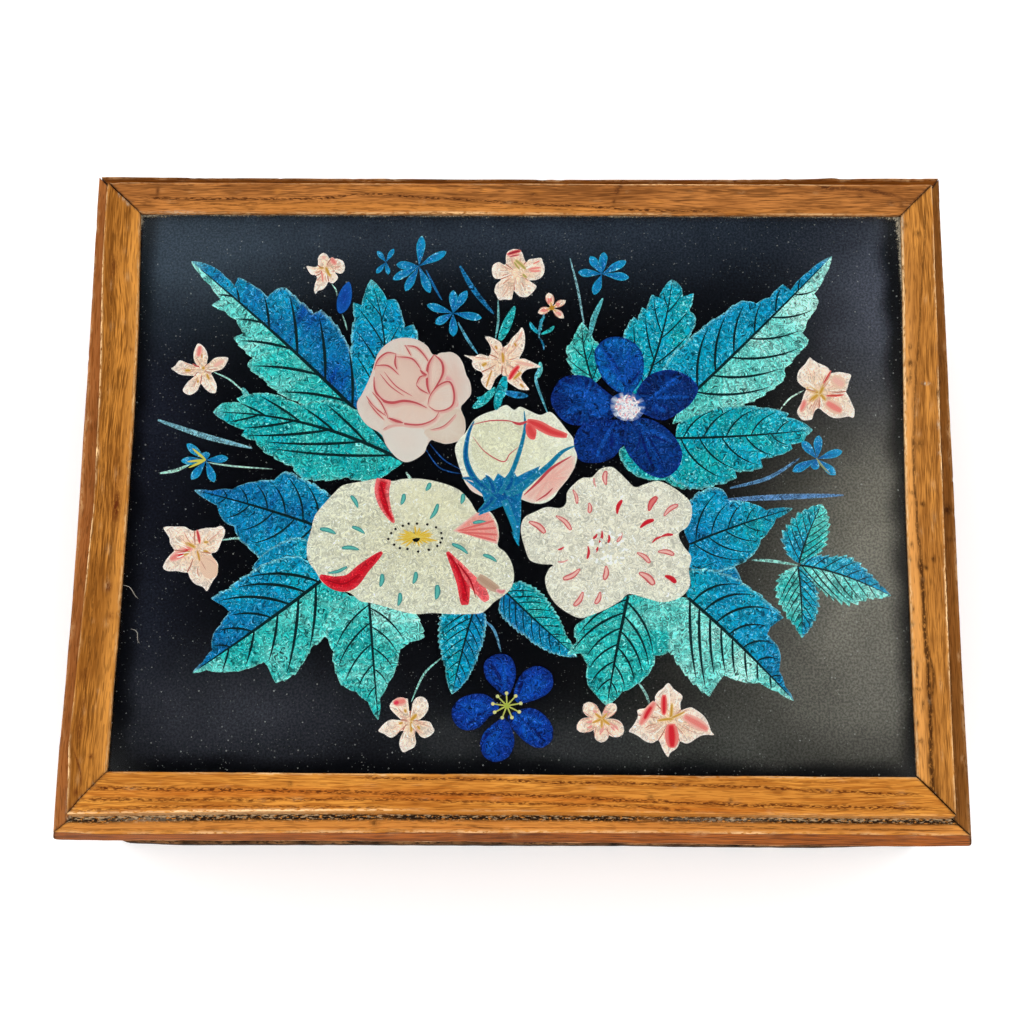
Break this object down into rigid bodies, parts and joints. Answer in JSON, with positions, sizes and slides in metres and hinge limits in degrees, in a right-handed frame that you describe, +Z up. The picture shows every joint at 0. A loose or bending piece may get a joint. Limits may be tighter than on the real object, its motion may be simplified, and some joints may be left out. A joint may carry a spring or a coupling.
{
  "type": "trinket box",
  "caption": "Shallow rectangular oak box, hollow and empty, under a lift-off lid whose stepped, mitred frame holds a foil-backed painted flower picture under clear glass.",
  "frame": {"origin": "centre of the underside of the base board, on the surface that the box stands on", "axes": "+X along the long side, to the right as the picture is seen; +Y to the back, the top edge of the picture; +Z up"},
  "size_m": [0.3044, 0.2364, 0.0905],
  "materials": {
    "lid_oak": "worn varnish, satin",
    "box_oak": "darker worn varnish, satin",
    "pane_glass": "clear, polished",
    "tinsel_foil": "crumpled foil behind dark and translucent paint",
    "bare_board": "bare, sanded"
  },
  "bodies": {
    "root": {"lid_rail_front": "lid_oak", "lid_rail_right": "lid_oak", "lid_rail_back": "lid_oak", "lid_rail_left": "lid_oak", "picture_glass": "pane_glass", "foil_sheet": "tinsel_foil", "lid_board": "bare_board", "box_wall_front": "box_oak", "box_wall_right": "box_oak", "box_wall_back": "box_oak", "box_wall_left": "box_oak", "box_base_board": "box_oak"}
  },
  "joints": []
}
